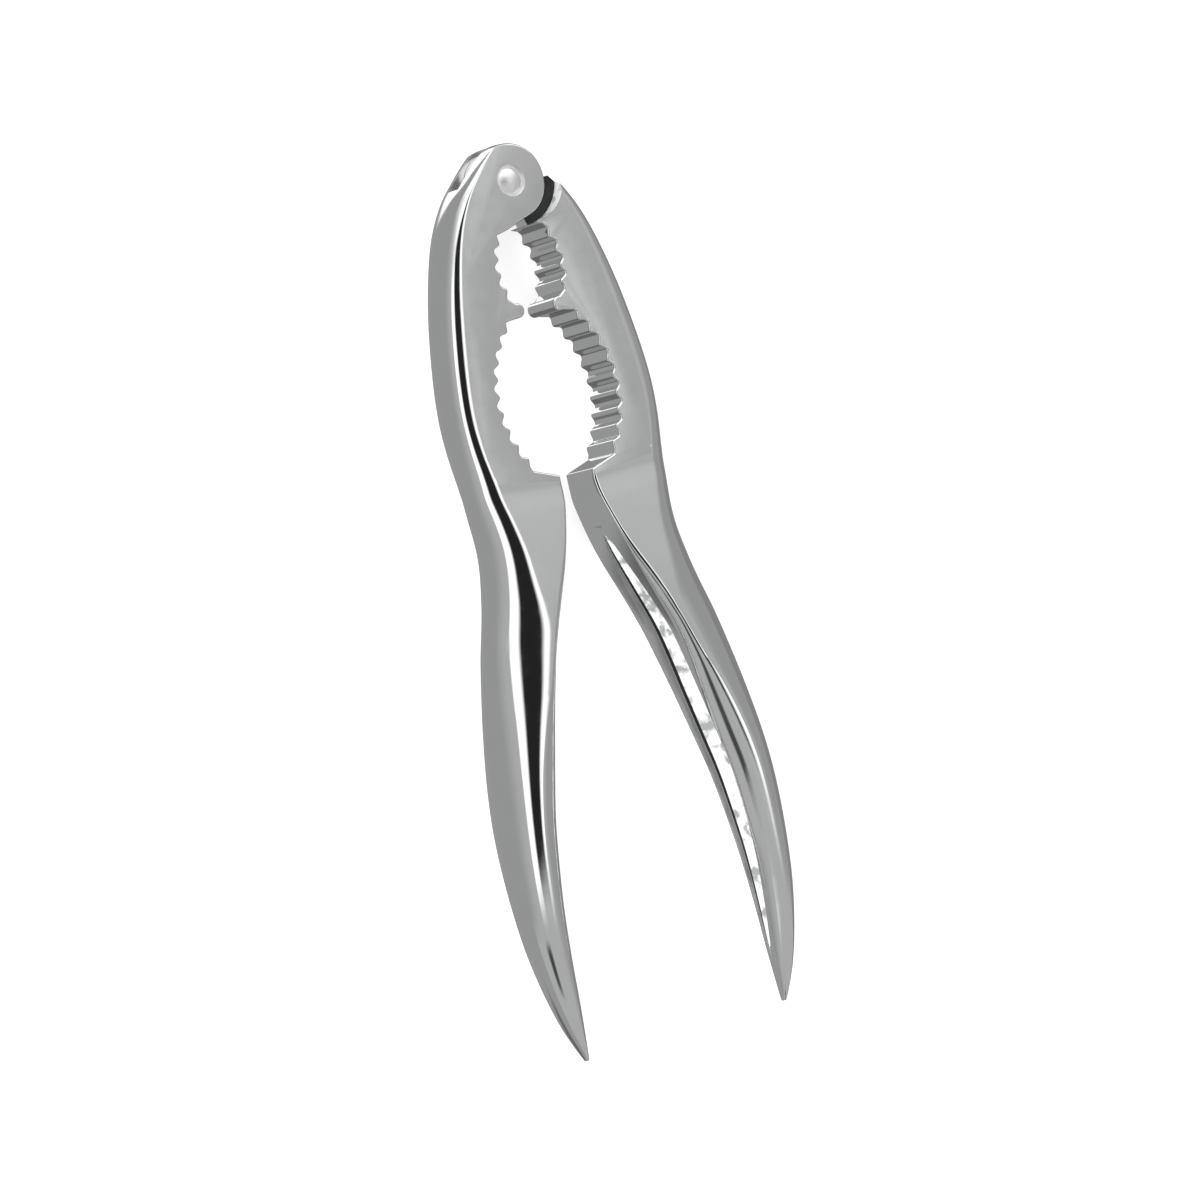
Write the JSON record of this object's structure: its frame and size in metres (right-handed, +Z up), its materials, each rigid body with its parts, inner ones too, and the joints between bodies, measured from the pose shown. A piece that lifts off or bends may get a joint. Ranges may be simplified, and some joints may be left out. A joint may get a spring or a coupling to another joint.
{
  "type": "nutcracker",
  "caption": "Hand nutcracker: a fork lever and a tongue lever turn on one rivet, with small and large toothed nut hollows in the jaws and curved pointed handles.",
  "frame": {"origin": "centre of the outline, on the flat surface that the tool lies on, with the levers a little open", "axes": "+Y along the tool from the handles to the head, +Z up through the thickness and along the rivet, +X from the fork lever to the tongue lever"},
  "size_m": [0.061, 0.1653, 0.014],
  "materials": {
    "fork_lever": "polished plating on a zinc casting",
    "tongue_lever": "polished plating on a zinc casting",
    "rivet": "satin peened end"
  },
  "bodies": {
    "fork_side": {"fork_lever": "fork_lever", "rivet": "rivet"},
    "tongue_side": {"tongue_lever": "tongue_lever"}
  },
  "joints": [
    {"name": "rivet_hinge", "type": "hinge", "parent": "fork_side", "child": "tongue_side", "pos_m": [0, 0.07558, 0.007], "axis": [0, 0, 1], "range_deg": [-7.2, 170]}
  ]
}
